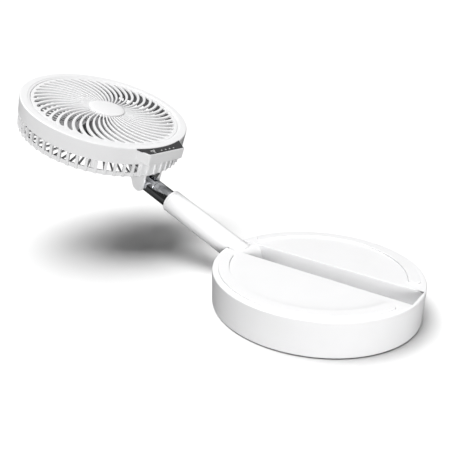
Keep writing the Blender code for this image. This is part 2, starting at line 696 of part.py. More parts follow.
def make_front(head, white):
    near, far = RING_RADII
    crown = [
        (near, RING_TOP - 0.4 * RING_SLOPE),
        (near + RING_SLOPE, RING_TOP),
        (far - RING_SLOPE, RING_TOP),
        (far, RING_TOP - 0.4 * RING_SLOPE),
        (far, RING_TOP - RING_THICK),
        (near, RING_TOP - RING_THICK),
    ]
    place("front_ring", turned(crown, 48), white, head)
    hub_bore, hub, opening, frame = GRILLE_RADII
    steps = 4
    radii = [hub_bore] + [hub + (opening - hub) * i / steps for i in range(steps + 1)] + [frame]

    def filled(i, j, k):
        return i % 2 == 0 or j in (0, len(radii) - 2)

    heights = (GRILLE_FACE - GRILLE_THICK, GRILLE_FACE)
    bars = lattice(rib_edges(GRILLE_RIBS, RIB_SHARE), radii, heights, filled, rib_bend)
    place("front_grille", bars, white, head)
    plug, under = hub_bore - 2 * GAP, GRILLE_FACE + GAP
    cap = [
        (0, CAP_CROWN),
        (CAP_RADIUS * 0.6, CAP_CROWN * 0.7),
        (CAP_RADIUS * 0.96, CAP_CROWN * 0.1),
        (CAP_RADIUS, under + 0.2 * MM),
        (CAP_RADIUS, under),
        (plug, under),
        (plug, GRILLE_FACE - CAP_PLUG),
        (0, GRILLE_FACE - CAP_PLUG),
    ]
    place("grille_cap", turned(cap), white, head)


def make_rear_cage(head, white):
    radii = (
        CAGE_HUB_BORE, CAGE_HUB_RADIUS, CAGE_FOOT_RADIUS, *CAGE_WALL_RADII, CAGE_RIB_RADIUS
    )
    floor = -HEAD_DEPTH
    top = -BAND_DEPTH - GAP
    heights = (
        floor, floor + CAGE_SPOKE_THICK, floor + CAGE_LOW_RING, top - CAGE_TOP_RING, top
    )
    edges = rib_edges(CAGE_SLATS, SLAT_SHARE, CAGE_FIRST_SLAT)

    def near_hinge(i):
        angle = (edges[i] + math.pi) % (2 * math.pi) - math.pi
        return abs(angle) < CAGE_SOLID_ANGLE

    def filled(i, j, k):
        slat = i % 2 == 0
        spoke = i % (2 * CAGE_SPOKE_EVERY) == 0
        hub = j == 0 and k == 0
        spokes = j == 1 and k == 0 and spoke
        foot = j == 2 and k == 0
        wall = j == 3 and (k in (0, 1, 3) or slat or near_hinge(i))
        ribs = j == 4 and k < 3 and slat
        return hub or spokes or foot or wall or ribs

    cage = place("rear_cage", lattice(edges, radii, heights, filled), white, head)
    saddle_low, saddle_high = floor + 0.1 * MM, floor + CAGE_SPOKE_THICK + 0.8 * MM
    near, far = YOKE_SPAN
    saddle = box((near, -EAR_FACES[1], saddle_low), (far, EAR_FACES[1], saddle_high))
    combine(cage, "UNION", "saddle", saddle)
    bosses, holes = [], []
    for angle in head_screw_angles():
        x, y = polar(HEAD_SCREW_CIRCLE, angle)
        bosses.append(moved(disc(HEAD_BOSS_RADIUS, floor + 0.1 * MM, top, 12), x, y))
        stepped = turned(
            [
                (0, top + CUT_PAST),
                (HEAD_SHANK_HOLE, top + CUT_PAST),
                (HEAD_SHANK_HOLE, floor + HEAD_SINK_DEPTH),
                (HEAD_SINK_RADIUS, floor + HEAD_SINK_DEPTH),
                (HEAD_SINK_RADIUS, floor - CUT_PAST),
                (0, floor - CUT_PAST),
            ],
            10,
        )
        holes.append(moved(stepped, x, y))
    combine(cage, "UNION", "bosses", joined(*bosses))
    combine(cage, "DIFFERENCE", "screw_holes", joined(*holes))


def ear(side):
    """One hinge ear: a round end on the hinge axis, with flanks that widen upwards to the yoke's plate."""
    near, far = YOKE_SPAN
    centre = (HEAD_HINGE_X, -HEAD_HINGE_DROP)
    outline = arc(centre, EAR_RADIUS, math.radians(200), math.radians(345), 8)
    outline += [(far, YOKE_TOP - YOKE_PLATE), (far, YOKE_TOP), (near, YOKE_TOP)]
    outline += [(near + 1 * MM, YOKE_TOP - YOKE_PLATE - 1 * MM)]
    inner, outer = sorted((-side * EAR_FACES[0], -side * EAR_FACES[1]))
    bm = extruded(outline, inner, outer)
    bmesh.ops.rotate(bm, verts=bm.verts, matrix=Matrix.Rotation(math.radians(90), 3, "X"))
    return bm


def make_hinge_yoke(head, white):
    """The plate under the cage that carries both hinge ears, with a blind bore in each for the pin."""
    near, far = YOKE_SPAN
    inset = 0.2 * MM
    low, high = YOKE_TOP - YOKE_PLATE, YOKE_TOP - 0.1 * MM
    plate = box((near + inset, -EAR_FACES[1] + inset, low), (far - inset, EAR_FACES[1] - inset, high))
    yoke = place("hinge_yoke", plate, white, head)
    for name, side in (("ear_left", 1), ("ear_right", -1)):
        combine(yoke, "UNION", name, ear(side))
    blind = EAR_PIN_HALF + GAP
    bore = across(disc(EAR_PIN_RADIUS + GAP, -blind, blind, 16))
    combine(yoke, "DIFFERENCE", "bore", moved(bore, HEAD_HINGE_X, 0, -HEAD_HINGE_DROP))


def make_head_screws(head, steel):
    for i, angle in enumerate(head_screw_angles(), 1):
        x, y = polar(HEAD_SCREW_CIRCLE, angle)
        face = HEAD_SINK_DEPTH - GAP - HEAD_SCREW[1] - HEAD_DEPTH
        place(f"head_screw_{i}", screw(*HEAD_SCREW), steel, head, (x, y, face))


def make_motor(head, steel, iron, copper, magnet, dark):
    """An outer-rotor motor: the coils are fixed to the cage, and the can turns with the blades."""
    bore = CAGE_HUB_BORE - 2 * GAP
    foot, top = HOLDER_SPAN
    holder = [
        (HOLDER_BORE, top),
        (bore, top),
        (bore, FLANGE_SPAN[1]),
        (FLANGE_RADIUS, FLANGE_SPAN[1]),
        (FLANGE_RADIUS, FLANGE_SPAN[0]),
        (bore, FLANGE_SPAN[0]),
        (bore, foot),
        (0, foot),
        (0, foot + HOLDER_FLOOR),
        (HOLDER_BORE, foot + HOLDER_FLOOR),
    ]
    place("bearing_holder", turned(holder, 20), dark, head)
    shaft_hole = SHAFT_RADIUS + GAP
    for name, low in BEARING_FEET.items():
        place(name, ring(shaft_hole, BEARING_RADIUS, low, low + BEARING_HIGH, 16), steel, head)
    place("motor_stator", ring(bore + GAP, STATOR_RADIUS, *STATOR_SPAN), copper, head)
    inner, outer = CAN_RADII
    foot, top = CAN_SPAN
    can = [
        (shaft_hole, top),
        (outer - CAN_CHAMFER, top),
        (outer, top - CAN_CHAMFER),
        (outer, foot),
        (inner, foot),
        (inner, top - CAN_ROOF),
        (shaft_hole, top - CAN_ROOF),
    ]
    place("motor_can", turned(can), iron, head)
    place("magnet_ring", ring(*MAGNET_RADII, *MAGNET_SPAN), magnet, head)
    place("motor_shaft", disc(SHAFT_RADIUS, *SHAFT_SPAN, 12), steel, head)
    place("blade_nut", ring(shaft_hole, NUT_RADIUS, *NUT_SPAN, 6), steel, head)


def blade(index):
    """One swept blade as a thin curved slab, from inside the hub's wall to the tip."""
    bm = bmesh.new()
    radial, chordwise = 5, 4
    start = 2 * math.pi * index / BLADES + BLADE_FIRST
    layers = []
    for side in (0.5, -0.5):
        grid = []
        for i in range(radial + 1):
            u = i / radial
            radius = BLADE_ROOT + (BLADE_TIP - BLADE_ROOT) * u
            width = BLADE_WIDTH * (1 - 0.08 * u)
            lead = start + BLADE_SWEEP * u**1.5
            trim = 1 - 0.25 * max(0.0, u - 0.8) / 0.2
            row = []
            for j in range(chordwise + 1):
                v = (j / chordwise - 0.5) * trim
                height = (BLADE_HIGH + BLADE_LOW) / 2 + (BLADE_HIGH - BLADE_LOW) * v * (1 - 0.25 * u)
                height += BLADE_CROWN * (1 - 4 * v * v)
                x, y = polar(radius, lead + width * v)
                row.append(bm.verts.new((x, y, height + side * BLADE_THICK)))
            grid.append(row)
        layers.append(grid)
    top, bottom = layers
    for i in range(radial):
        for j in range(chordwise):
            for grid in layers:
                bm.faces.new((grid[i][j], grid[i + 1][j], grid[i + 1][j + 1], grid[i][j + 1]))
    for i in range(radial):
        for j in (0, chordwise):
            bm.faces.new((top[i][j], top[i + 1][j], bottom[i + 1][j], bottom[i][j]))
    for j in range(chordwise):
        for i in (0, radial):
            bm.faces.new((top[i][j], top[i][j + 1], bottom[i][j + 1], bottom[i][j]))
    bmesh.ops.recalc_face_normals(bm, faces=bm.faces)
    return bm


def make_fan_blade(head, finish):
    inner, outer = BLADE_HUB_RADII
    low, high = BLADE_HUB_SPAN
    hub = [
        (SHAFT_RADIUS + GAP, high),
        (outer - BLADE_HUB_CHAMFER, high),
        (outer, high - BLADE_HUB_CHAMFER),
        (outer, low),
        (inner, low),
        (inner, high - BLADE_HUB_ROOF),
        (SHAFT_RADIUS + GAP, high - BLADE_HUB_ROOF),
    ]
    rotor = place("fan_blade", turned(hub, 30), finish, head)
    for index in range(BLADES):
        combine(rotor, "UNION", f"blade_{index + 1}", blade(index))


def main():
    clear_scene()
    white = look("white_plastic", (0.86, 0.86, 0.86), 0.25)
    blade_white = look("blade_plastic", (0.82, 0.82, 0.83), 0.35)
    dark = look("dark_plastic", (0.05, 0.05, 0.055), 0.5)
    rubber = look("grey_rubber", (0.12, 0.12, 0.12), 0.8)
    chrome = look("chrome", (0.62, 0.63, 0.65), 0.08, 1.0)
    steel = look("steel", (0.55, 0.55, 0.56), 0.35, 1.0)
    iron = look("can_steel", (0.3, 0.3, 0.32), 0.4, 1.0)
    copper = look("copper_winding", (0.72, 0.38, 0.2), 0.4, 1.0)
    magnet = look("magnet", (0.1, 0.1, 0.11), 0.5, 0.6)
    cell = look("cell_wrap", (0.1, 0.28, 0.5), 0.35)
    board = look("circuit_board", (0.03, 0.2, 0.08), 0.4)
    panel = look("panel_gloss", (0.07, 0.07, 0.075), 0.08)
    light = look("light_pipe", (0.9, 0.9, 0.88), 0.3)

    make_base_shell(white)
    make_base_underside(white, rubber, steel)
    make_rest_pads(white)
    make_base_contents(steel, cell, dark, board)
    make_port(steel)
    make_base_hinge(steel, dark)

    pole_hinge = empty_at("pole_hinge", None, BASE_HINGE, POLE_RISE - math.pi / 2)
    make_pole(pole_hinge, white, chrome, dark)
    make_neck(pole_hinge, chrome, steel)

    along = Vector((-math.cos(POLE_RISE), 0, math.sin(POLE_RISE)))
    head_hinge = empty_at("head_hinge", None, BASE_HINGE + POLE_LENGTH * along, HEAD_TILT)
    head = empty_at("head_middle", head_hinge, (-HEAD_HINGE_X, 0, HEAD_HINGE_DROP))
    make_front_band(head, white)
    make_controls(head, panel, light, white, board)
    make_front(head, white)
    make_rear_cage(head, white)
    make_hinge_yoke(head, white)
    make_head_screws(head, steel)
    make_motor(head, steel, iron, copper, magnet, dark)
    make_fan_blade(head, blade_white)


main()
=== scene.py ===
"""Looks of the folding telescopic desk fan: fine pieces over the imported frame, finishes, floor and light."""

import json
import math
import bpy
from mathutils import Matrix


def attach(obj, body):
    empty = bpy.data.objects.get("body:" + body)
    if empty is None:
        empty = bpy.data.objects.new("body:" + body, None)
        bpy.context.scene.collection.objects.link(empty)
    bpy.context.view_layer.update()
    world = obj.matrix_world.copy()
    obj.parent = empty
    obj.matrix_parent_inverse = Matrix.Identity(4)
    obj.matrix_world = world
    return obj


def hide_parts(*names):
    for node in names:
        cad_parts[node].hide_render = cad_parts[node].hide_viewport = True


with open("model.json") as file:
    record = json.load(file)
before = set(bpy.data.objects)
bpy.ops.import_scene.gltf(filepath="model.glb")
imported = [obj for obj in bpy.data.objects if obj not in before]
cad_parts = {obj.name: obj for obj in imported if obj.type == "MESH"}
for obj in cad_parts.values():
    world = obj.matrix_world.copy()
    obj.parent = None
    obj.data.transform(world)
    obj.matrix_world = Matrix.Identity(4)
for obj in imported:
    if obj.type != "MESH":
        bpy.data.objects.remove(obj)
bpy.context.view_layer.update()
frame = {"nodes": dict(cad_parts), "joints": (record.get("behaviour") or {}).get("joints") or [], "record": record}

from types import SimpleNamespace

import bmesh
import bpy
from mathutils import Matrix, Vector

MM = 0.001
FINE = 192  # steps round a large circle
ROUND = 72  # steps round a tube
PAST = 2 * MM  # how far a cutter runs past the face that it opens
FIT = 0.3 * MM  # clearance round a part that is let into another
PIN_HOLE = 2.9 * MM  # radius of the base hinge's hole
SHARP_EDGE = 40  # degrees between two faces, from which an edge is rounded
ON_BODY = {}  # the fine pieces on each body, for the lights that leave some out

JOINTS = {joint["name"]: joint for joint in frame["joints"]}
BASE_HINGE = Vector(JOINTS["pole_fold"]["pos_m"])
HEAD_HINGE = Vector(JOINTS["head_fold"]["pos_m"])
HEAD_CENTRE = Vector(JOINTS["blade_spin"]["pos_m"])


# ---- frames and measures ----


def frame_at(origin, z_axis, towards_x):
    """A frame with its Z along an axis and its X as near as can be to a direction."""
    z = z_axis.normalized()
    x = (towards_x - z * towards_x.dot(z)).normalized()
    turn = Matrix((x, z.cross(x), z)).transposed().to_4x4()
    return Matrix.Translation(origin) @ turn


WORLD = Matrix.Identity(4)
HEAD = frame_at(HEAD_CENTRE, Vector(JOINTS["blade_spin"]["axis"]), HEAD_HINGE - HEAD_CENTRE)
POLE = frame_at(BASE_HINGE, HEAD_HINGE - BASE_HINGE, Vector((0, 0, 1)))


def size(node, place=WORLD, up_to=None):
    """Low and high corner, and least and greatest radius about Z, of a CAD node in a frame.

    up_to leaves out the points that lie further along X, such as those of a box on a round band.
    """
    back = place.inverted()
    points = [back @ vertex.co for vertex in frame["nodes"][node].data.vertices]
    if up_to is not None:
        points = [point for point in points if point.x < up_to]
    radii = [math.hypot(point.x, point.y) for point in points]
    return SimpleNamespace(
        low=Vector([min(point[i] for point in points) for i in range(3)]),
        high=Vector([max(point[i] for point in points) for i in range(3)]),
        near=min(radii),
        far=max(radii),
    )


# ---- shapes ----


def turned(profile, steps=FINE):
    """A solid of revolution about Z, from a closed outline of (radius, height) points."""
    bm = bmesh.new()
    points = [bm.verts.new((radius, 0, height)) for radius, height in profile]
    edges = [
        bm.edges.new(pair)
        for pair in zip(points, points[1:] + points[:1])
        if pair[0].co.x + pair[1].co.x > 0
    ]
    bmesh.ops.spin(
        bm, geom=points + edges, axis=(0, 0, 1), angle=2 * math.pi, steps=steps, use_merge=True
    )
    bmesh.ops.remove_doubles(bm, verts=bm.verts, dist=1e-7)
    bmesh.ops.recalc_face_normals(bm, faces=bm.faces)
    return bm


def arc(centre, radius, start, end, steps=6):
    angles = [start + (end - start) * i / steps for i in range(steps + 1)]
    return [
        (centre[0] + radius * math.cos(angle), centre[1] + radius * math.sin(angle))
        for angle in angles
    ]


def fillet(corner, radius, quarter, steps=6):
    """A rounded right-angled corner of an outline; quarter 0 is the outline's +X +Y corner."""
    turn = quarter * math.pi / 2
    inward = (math.cos(turn + math.pi / 4), math.sin(turn + math.pi / 4))
    reach = radius * math.sqrt(2)
    centre = (corner[0] - inward[0] * reach, corner[1] - inward[1] * reach)
    return arc(centre, radius, turn, turn + math.pi / 2, steps)


def ring(bore, radius, low, high, edge=0.0, steps=FINE):
    """A tube, or a disc when the bore is 0, with its edges rounded."""
    if edge == 0:
        return turned([(bore, high), (radius, high), (radius, low), (bore, low)], steps)
    outline = fillet((radius, high), edge, 0)[::-1] + fillet((radius, low), edge, 3)[::-1]
    if bore == 0:
        return turned([(0, high), *outline, (0, low)], steps)
    outline += fillet((bore, low), edge, 2)[::-1] + fillet((bore, high), edge, 1)[::-1]
    return turned(outline, steps)


def polar(radius, angle):
    return radius * math.cos(angle), radius * math.sin(angle)


def across(bm):
    """Turn a shape so that its Z axis lies along Y."""
    bmesh.ops.rotate(bm, verts=bm.verts, matrix=Matrix.Rotation(math.radians(-90), 3, "X"))
    return bm


def moved(bm, x=0.0, y=0.0, z=0.0):
    bmesh.ops.translate(bm, verts=bm.verts, vec=(x, y, z))
    return bm


def spun(bm, angle):
    bmesh.ops.rotate(bm, verts=bm.verts, matrix=Matrix.Rotation(angle, 3, "Z"))
    return bm


def joined(shapes):
    """Several shapes in one bmesh."""
    whole = bmesh.new()
    for shape in shapes:
        mesh = bpy.data.meshes.new("shape")
        shape.to_mesh(mesh)
        shape.free()
        whole.from_mesh(mesh)
        bpy.data.meshes.remove(mesh)
    return whole


def extruded(outline, low, high, edge=0.0, both=False):
    """A flat outline made solid between two heights, with its top edge rounded, or both edges."""
    bm = bmesh.new()
    face = bm.faces.new([bm.verts.new((x, y, low)) for x, y in outline])
    grown = bmesh.ops.extrude_face_region(bm, geom=[face])["geom"]
    tops = [item for item in grown if isinstance(item, bmesh.types.BMVert)]
    bmesh.ops.translate(bm, verts=tops, vec=(0, 0, high - low))
    bmesh.ops.recalc_face_normals(bm, faces=bm.faces)
    if edge:
        heights = (low, high) if both else (high,)
        rims = [
            line
            for line in bm.edges
            if any(all(abs(v.co.z - height) < 1e-9 for v in line.verts) for height in heights)
        ]
        bmesh.ops.bevel(bm, geom=rims, offset=edge, segments=4, profile=0.5, affect="EDGES")
    return bm


def block(low, high, edge=0.0):
    outline = [(low[0], low[1]), (high[0], low[1]), (high[0], high[1]), (low[0], high[1])]
    return extruded(outline, low[2], high[2], edge, both=True)


def lattice(edges, radii, heights, filled):
    """One closed skin round the filled cells of a ring-shaped lattice; filled(i, j, k) tells solid cells."""
    bm = bmesh.new()
    count = len(edges)
    corners = {}

    def solid(i, j, k):
        inside = 0 <= j < len(radii) - 1 and 0 <= k < len(heights) - 1
        return inside and filled(i % count, j, k)

    def corner(i, j, k):
        key = (i % count, j, k)
        if key not in corners:
            corners[key] = bm.verts.new((*polar(radii[j], edges[key[0]]), heights[k]))
        return corners[key]

    sides = {
        (-1, 0, 0): ((0, 0, 0), (0, 0, 1), (0, 1, 1), (0, 1, 0)),
        (1, 0, 0): ((1, 0, 0), (1, 1, 0), (1, 1, 1), (1, 0, 1)),
        (0, -1, 0): ((0, 0, 0), (1, 0, 0), (1, 0, 1), (0, 0, 1)),
        (0, 1, 0): ((0, 1, 0), (0, 1, 1), (1, 1, 1), (1, 1, 0)),
        (0, 0, -1): ((0, 0, 0), (0, 1, 0), (1, 1, 0), (1, 0, 0)),
        (0, 0, 1): ((0, 0, 1), (1, 0, 1), (1, 1, 1), (0, 1, 1)),
    }
    for i in range(count):
        for j in range(len(radii) - 1):
            for k in range(len(heights) - 1):
                if not solid(i, j, k):
                    continue
                for (di, dj, dk), quad in sides.items():
                    if not solid(i + di, j + dj, k + dk):
                        bm.faces.new([corner(i + a, j + b, k + c) for a, b, c in quad])
    bmesh.ops.recalc_face_normals(bm, faces=bm.faces)
    return bm


def loose(name, bm, place=WORLD):
    mesh = bpy.data.meshes.new(name)
    bm.to_mesh(mesh)
    bm.free()
    obj = bpy.data.objects.new(name, mesh)
    bpy.context.scene.collection.objects.link(obj)
    obj.matrix_world = place
    return obj


def settle(obj):
    """Make an object's modifiers part of its mesh."""
    graph = bpy.context.evaluated_depsgraph_get()
    mesh = bpy.data.meshes.new_from_object(obj.evaluated_get(graph))
    obj.modifiers.clear()
    obj.data = mesh


def combine(obj, bm, operation="DIFFERENCE"):
    """Cut a shape from an object, or add it, in the object's own frame."""
    tool = loose("tool", bm, obj.matrix_world)
    modifier = obj.modifiers.new("combine", "BOOLEAN")
    modifier.operation = operation
    modifier.solver = "EXACT"
    modifier.object = tool
    bpy.context.view_layer.update()
    settle(obj)
    bpy.data.objects.remove(tool)


def soften(obj, width, segments=3):
    """Round the sharp edges, as moulded plastic and turned metal have them."""
    bevel = obj.modifiers.new("soften", "BEVEL")
    bevel.width = width
    bevel.segments = segments
    bevel.limit_method = "ANGLE"
    bevel.angle_limit = math.radians(SHARP_EDGE)
    bevel.use_clamp_overlap = False
    settle(obj)


def dress(obj, body, finish, stands_for=(), smooth_below=50, inside=None):
    """Shade, finish and attach a piece; inside tells the faces that take the inner finish, a dark grey that paints
    the shade inside the head.
    """
    mesh = obj.data
    mesh.shade_smooth()
    mesh.set_sharp_from_angle(angle=math.radians(smooth_below))
    even = obj.modifiers.new("even_normals", "WEIGHTED_NORMAL")
    even.keep_sharp = True
    mesh.materials.clear()
    mesh.materials.append(LOOKS[finish])
    # the faces that inside picks take the inner finish: painted shade
    if inside:
        mesh.materials.append(LOOKS["inner"])
        for face in mesh.polygons:
            face.material_index = int(inside(face))
    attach(obj, body)
    ON_BODY.setdefault(body, []).append(obj)
    if stands_for:
        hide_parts(*stands_for)
    return obj


def piece(name, bm, place, body, finish, stands_for=(), smooth_below=50, inside=None):
    return dress(loose(name, bm, place), body, finish, stands_for, smooth_below, inside)


PAINTED_SHADE_DEPTH = 3.6 * MM  # how far below the head's front the painted shade on its inside starts
PAINTED_SHADE_RADIUS = 97.5 * MM  # and how far out the painted shade reaches


def takes_painted_shade(face):
    """Whether a face of the head looks at the blades, towards the axis or up from the cage's floor, and so takes
    the painted shade.
    """
    across_axis = Vector((face.center.x, face.center.y))
    outwards = across_axis.normalized().dot(Vector((face.normal.x, face.normal.y)))
    within = face.center.z < -PAINTED_SHADE_DEPTH and across_axis.length < PAINTED_SHADE_RADIUS
    return within and (outwards < -0.4 or face.normal.z > 0.5)


# ---- finishes ----


GRAIN_DEPTH = 0.1 * MM
PATCHES = 45  # cycles per metre of the slow changes


def finish(name, colour, roughness, metallic=0.0, grain=900, bump=0.05, vary=0.04, stretch=(1, 1, 1),
           coat=0.0, light=0.0, tint=0.03):
    """A procedural finish: grain in the surface, and slow changes of roughness and shade.

    grain is in cycles per metre, bump its strength, vary the change of roughness and tint that of shade.
    """
    made = bpy.data.materials.new(name)
    made.use_nodes = True
    nodes, links = made.node_tree.nodes, made.node_tree.links
    shader = nodes["Principled BSDF"]
    shader.inputs["Metallic"].default_value = metallic
    shader.inputs["Coat Weight"].default_value = coat
    shader.inputs["Coat Roughness"].default_value = 0.06
    if light:
        shader.inputs["Emission Color"].default_value = (*colour, 1)
        shader.inputs["Emission Strength"].default_value = light
    spot = nodes.new("ShaderNodeTexCoord")
    scaled = nodes.new("ShaderNodeMapping")
    scaled.inputs["Scale"].default_value = stretch
    links.new(spot.outputs["Object"], scaled.inputs["Vector"])
    fine = nodes.new("ShaderNodeTexNoise")
    fine.inputs["Scale"].default_value = grain
    fine.inputs["Detail"].default_value = 4
    links.new(scaled.outputs["Vector"], fine.inputs["Vector"])
    relief = nodes.new("ShaderNodeBump")
    relief.inputs["Strength"].default_value = bump
    relief.inputs["Distance"].default_value = GRAIN_DEPTH
    links.new(fine.outputs["Fac"], relief.inputs["Height"])
    links.new(relief.outputs["Normal"], shader.inputs["Normal"])
    slow = nodes.new("ShaderNodeTexNoise")
    slow.inputs["Scale"].default_value = PATCHES
    slow.inputs["Detail"].default_value = 3
    links.new(scaled.outputs["Vector"], slow.inputs["Vector"])
    gloss = nodes.new("ShaderNodeMapRange")
    gloss.inputs["To Min"].default_value = max(0.02, roughness - vary)
    gloss.inputs["To Max"].default_value = min(1.0, roughness + vary)
    links.new(slow.outputs["Fac"], gloss.inputs["Value"])
    links.new(gloss.outputs["Result"], shader.inputs["Roughness"])
    shade = nodes.new("ShaderNodeValToRGB")
    dim = 1 - tint
    shade.color_ramp.elements[0].position = 0.3
    shade.color_ramp.elements[0].color = (*[channel * dim for channel in colour], 1)
    shade.color_ramp.elements[1].position = 0.7
    shade.color_ramp.elements[1].color = (*colour, 1)
    links.new(slow.outputs["Fac"], shade.inputs["Fac"])
    links.new(shade.outputs["Color"], shader.inputs["Base Color"])
    return made


LOOKS = {
    "white": finish("white_plastic", (0.86, 0.86, 0.865), 0.3, grain=1500, bump=0.04, tint=0.015),
    # inner: a dark copy of the white plastic, painted shade for the faces inside the head
    "inner": finish("inner_painted_shade", (0.2, 0.2, 0.205), 0.4, grain=1500, bump=0.05, tint=0.03),
    # blade: the blades are white; this mid grey paints the shade that the grille casts on them
    "blade": finish("blade_plastic", (0.5, 0.5, 0.51), 0.34, grain=1200, bump=0.05, tint=0.02),
    "dark": finish("dark_plastic", (0.035, 0.035, 0.04), 0.5, grain=2500, bump=0.2),
    "rubber": finish("grey_rubber", (0.06, 0.06, 0.062), 0.75, grain=3500, bump=0.4),
    "chrome": finish(
        "chrome", (0.62, 0.63, 0.65), 0.1, 1.0, grain=260, bump=0.012, stretch=(1, 1, 0.05), vary=0.03
    ),
    "steel": finish(
        "steel", (0.55, 0.55, 0.56), 0.3, 1.0, grain=900, bump=0.05, stretch=(1, 1, 0.1), vary=0.06
    ),
    "iron": finish("can_steel", (0.28, 0.28, 0.3), 0.38, 1.0, grain=1400, bump=0.08),
    "copper": finish("copper_winding", (0.72, 0.36, 0.18), 0.35, 1.0, grain=700, bump=0.6, stretch=(1, 1, 6)),
    "magnet": finish("magnet", (0.09, 0.09, 0.1), 0.5, 0.6, grain=2400, bump=0.2),
    "cell": finish("cell_wrap", (0.07, 0.2, 0.42), 0.32, grain=1200, bump=0.05),
    "board": finish("circuit_board", (0.02, 0.15, 0.06), 0.4, grain=700, bump=0.25, tint=0.3),
    "panel": finish("panel_gloss", (0.028, 0.028, 0.03), 0.12, grain=900, bump=0.01, vary=0.03, coat=0.4),
    "light": finish("light_pipe", (0.4, 0.4, 0.4), 0.4, grain=1500, bump=0.03, light=0.1),
}
KEPT_NODES = {
    "white": ("base_cover",),
    "rubber": ("non_slip_pad",),
    "dark": (
        "battery_cradle_left", "battery_cradle_right", "hinge_washer_left", "hinge_washer_right",
        "mid_bush", "inner_bush", "bearing_holder",
    ),
    "steel": (
        "ballast_plate_left", "ballast_plate_right", "usb_socket", "base_hinge_pin", "head_hinge_pin",
        "bearing_front", "bearing_rear", "motor_shaft", "blade_nut",
        *[f"base_screw_{i}" for i in range(1, 5)],
        *[f"head_screw_{i}" for i in range(1, 5)],
    ),
    "iron": ("motor_can",),
    "copper": ("motor_stator",),
    "magnet": ("magnet_ring",),
    "cell": tuple(f"battery_cell_{i}" for i in range(1, 5)),
    "board": ("charge_board", "control_board"),
    "light": tuple(f"indicator_{i}" for i in range(1, 5)),
}


def finish_kept_nodes():
    for look, names in KEPT_NODES.items():
        for name in names:
            mesh = frame["nodes"][name].data
            mesh.materials.clear()
            mesh.materials.append(LOOKS[look])


# ---- base ----


def crescent(pad, grow=0.0):
    """The outline of a rest pad: two arcs about the middle of the base, with round ends."""
    middle, end = (pad.near + pad.far) / 2, (pad.far - pad.near) / 2
    side = 1 if pad.high.y > 0 else -1
    lowest = min(abs(pad.low.y), abs(pad.high.y))
    start = math.asin((lowest + end) / middle)
    stop = math.pi - start
    inner, outer, end = middle - end - grow, middle + end + grow, end + grow
    outline = arc((0, 0), outer, start, stop, 96)
    outline += arc(polar(middle, stop), end, stop, stop + math.pi, 16)[1:-1]
    outline += arc((0, 0), inner, stop, start, 96)
    outline += arc(polar(middle, start), end, start - math.pi, start, 16)[1:-1]
    return [(x, side * y) for x, y in outline]


def make_base():
    """The round shell with the trough, the notch in the rim and the charging port, and the rest pads."""
    shell = size("base_shell")
    radius, top, foot = shell.far, shell.high.z, shell.low.z
    wall, lip, foot_edge = 2.2 * MM, 1.6 * MM, 0.4 * MM
    outline = [(0, top), *fillet((radius, top), lip, 0, 10)[::-1], (radius, foot + foot_edge)]
    inside, ceiling = radius - wall, top - wall
    outline += [(radius - foot_edge, foot), (inside, foot), (inside, ceiling), (0, ceiling)]
    body = loose("base_body", turned(outline, FINE))
    opening_low, opening_high = map(Vector, frame["record"]["physics"]["openings"][0]["box_m"])
    trough_wall = 1.8 * MM
    half, end = opening_high.y + 0.35 * MM, opening_high.x + 0.4 * MM
    floor = opening_low.z - 0.4 * MM
    side = half + trough_wall
    reach = math.sqrt((radius - wall / 2) ** 2 - side**2)
    middle = top - wall / 2
    combine(body, block((-reach, -side, floor - trough_wall), (reach, side, middle)), "UNION")
    combine(body, block((-end, -half, floor), (end, half, top + PAST)))
    notch_half = half - 0.05 * MM
    notch_floor = BASE_HINGE.z - 9.2 * MM
    notch_low = (-radius - PAST, -notch_half, notch_floor)
    combine(body, block(notch_low, (-end + PAST, notch_half, top + 2 * PAST)))
    pin_hole = across(ring(0, PIN_HOLE, -side - PAST, side + PAST, steps=ROUND))
    combine(body, moved(pin_hole, BASE_HINGE.x, 0, BASE_HINGE.z))
    port = size("usb_socket")
    port_low = (port.low.x - FIT, radius - wall - PAST, port.low.z - FIT)
    combine(body, block(port_low, (port.high.x + FIT, radius + PAST, port.high.z + FIT)))
    soften(body, 0.45 * MM)
    recess_gap, recess_depth, pad_sunk, pad_edge = 0.25 * MM, 0.6 * MM, 0.4 * MM, 0.5 * MM
    for name in ("rest_pad_front", "rest_pad_rear"):
        pad = size(name)
        combine(body, extruded(crescent(pad, recess_gap), top - recess_depth, top + PAST))
        shape = extruded(crescent(pad), top - pad_sunk, pad.high.z, pad_edge)
        piece(f"{name}_fine", shape, WORLD, "base", "white", (name,))
    dress(body, "base", "white", ("base_shell",))


# ---- pole ----


def make_pole():
    """The hinge knuckle with its sleeve, and the white and the two bright tubes."""
    knuckle = size("pole_knuckle", POLE)
    radius, half = -knuckle.low.z, knuckle.high.y
    drum = loose("knuckle_fine", across(ring(0, radius, -half, half, 1.2 * MM, ROUND)), POLE)
    outer = size("outer_tube", POLE)
    sleeve_start, sleeve_end = 3 * MM, outer.low.z - 0.15 * MM
    plug_radius = outer.near - FIT
    stem = [(0, knuckle.high.z), (plug_radius, knuckle.high.z), (plug_radius, sleeve_end)]
    stem += fillet((outer.far, sleeve_end), 0.2 * MM, 0)[::-1]
    stem += [(outer.far, sleeve_start), (0, sleeve_start)]
    combine(drum, turned(stem, ROUND), "UNION")
    combine(drum, across(ring(0, PIN_HOLE, -half - PAST, half + PAST, steps=ROUND)))
    dress(drum, "pole", "white", ("pole_knuckle",))
    tubes = (
        ("outer_tube", "pole", "white", 0.35 * MM),
        ("tube_collar", "pole", "white", 0.35 * MM),
        ("mid_tube", "mid_stage", "chrome", 0.2 * MM),
        ("inner_tube", "inner_stage", "chrome", 0.2 * MM),
    )
    for node, body, look, edge in tubes:
        tube = size(node, POLE)
        shape = ring(tube.near, tube.far, tube.low.z, tube.high.z, edge, ROUND)
        piece(f"{node}_fine", shape, POLE, body, look, (node,))


